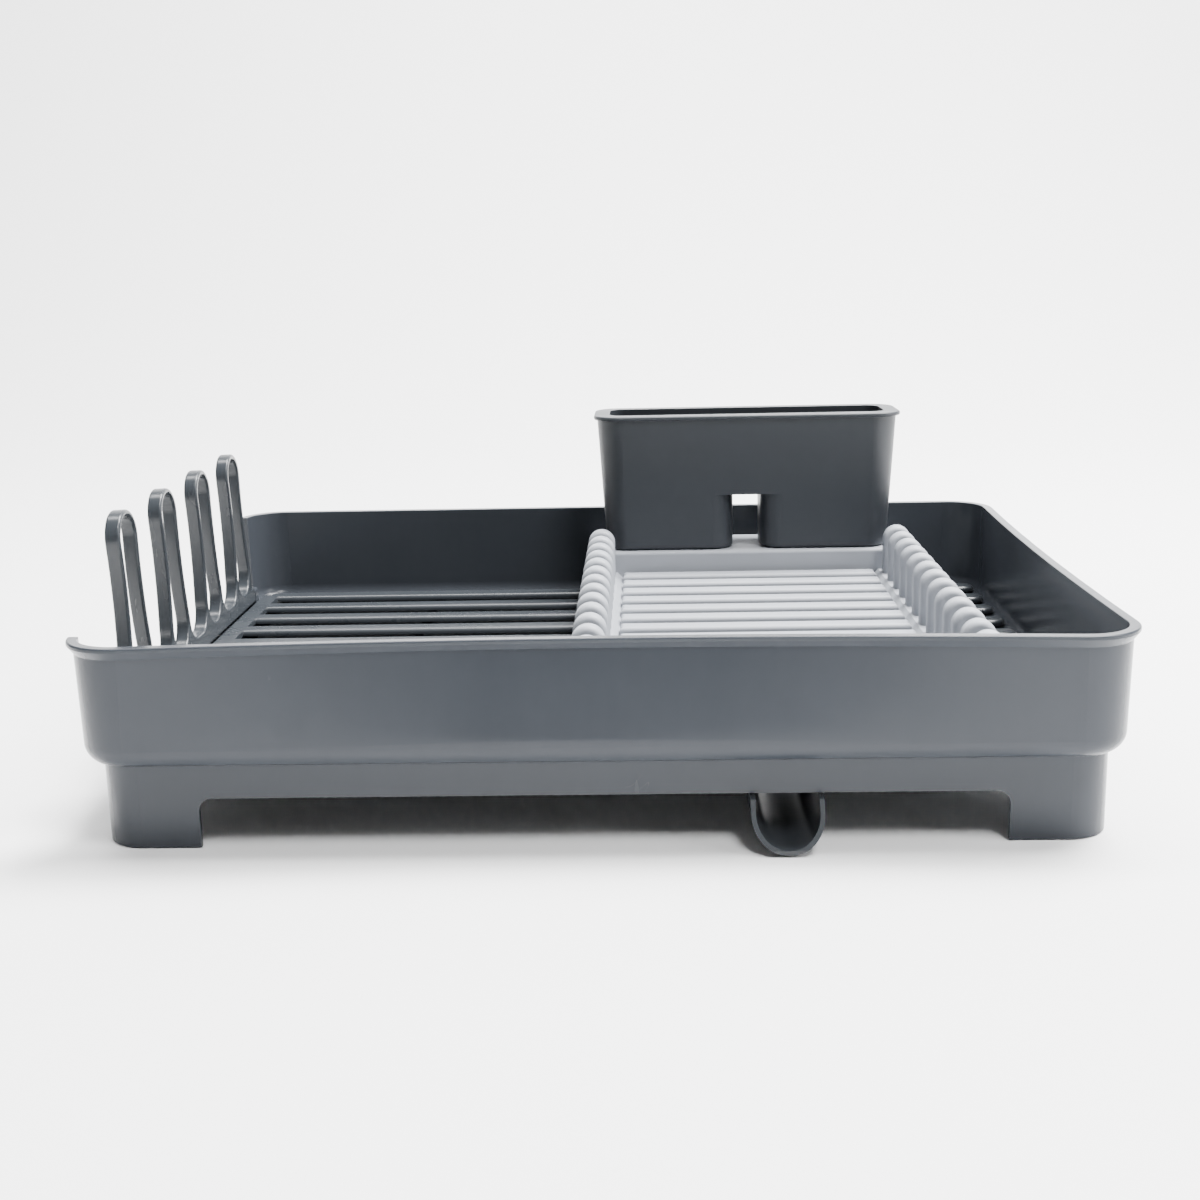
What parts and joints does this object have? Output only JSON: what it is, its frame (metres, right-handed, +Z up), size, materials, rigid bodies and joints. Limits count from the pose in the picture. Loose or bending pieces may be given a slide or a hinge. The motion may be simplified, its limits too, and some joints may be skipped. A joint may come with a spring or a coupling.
{
  "type": "dish drying rack",
  "caption": "Countertop dish drying rack: drip tub with swivel spout, lift-out drainer grid, plate rack and cutlery holder, and a fold-in cup rack.",
  "frame": {"origin": "centre of the footprint, at the underside of the foot pads", "axes": "+X along the length to the right as seen from the spout side, +Y from the spout side to the cutlery holder, +Z up"},
  "size_m": [0.4499, 0.335, 0.1544],
  "materials": {
    "graphite_plastic": "satin gloss moulded polypropylene",
    "graphite_grid": "satin gloss moulded polypropylene",
    "graphite_loops": "satin gloss moulded polypropylene",
    "graphite_satin": "satin moulded polypropylene",
    "graphite_spout": "satin gloss moulded polypropylene",
    "pale_grey_plastic": "fine matt moulded polypropylene",
    "pin_steel": "drawn wire",
    "black_rubber": "matt"
  },
  "bodies": {
    "tub": {"drip_tub": "graphite_plastic", "cup_rack_pin_front": "pin_steel", "cup_rack_pin_rear": "pin_steel", "spout_seal": "black_rubber", "foot_pad_front_left": "black_rubber", "foot_pad_front_right": "black_rubber", "foot_pad_rear_left": "black_rubber", "foot_pad_rear_right": "black_rubber"},
    "grid": {"drainer_grid": "graphite_grid"},
    "cups": {"cup_rack": "graphite_loops"},
    "plates": {"plate_rack": "pale_grey_plastic"},
    "holder": {"cutlery_holder": "graphite_satin"},
    "spout": {"drain_spout": "graphite_spout", "spout_retainer": "graphite_spout"}
  },
  "joints": [
    {"name": "cup_rack_fold", "type": "hinge", "parent": "tub", "child": "cups", "pos_m": [-0.2166, 0.01, 0.0505], "axis": [0, 1, 0], "range_deg": [0, 91.7]},
    {"name": "spout_swivel", "type": "hinge", "parent": "tub", "child": "spout", "pos_m": [0.0785, -0.092, 0.03], "axis": [0, 0, 1], "continuous": true},
    {"name": "drainer_grid_lift", "type": "slide", "parent": "tub", "child": "grid", "axis": [0, 0, 1], "range_m": [0, 0.15]},
    {"name": "plate_rack_lift", "type": "slide", "parent": "grid", "child": "plates", "axis": [0, 0, 1], "range_m": [0, 0.15]},
    {"name": "holder_lift", "type": "slide", "parent": "plates", "child": "holder", "axis": [0, 0, 1], "range_m": [0, 0.1]}
  ]
}
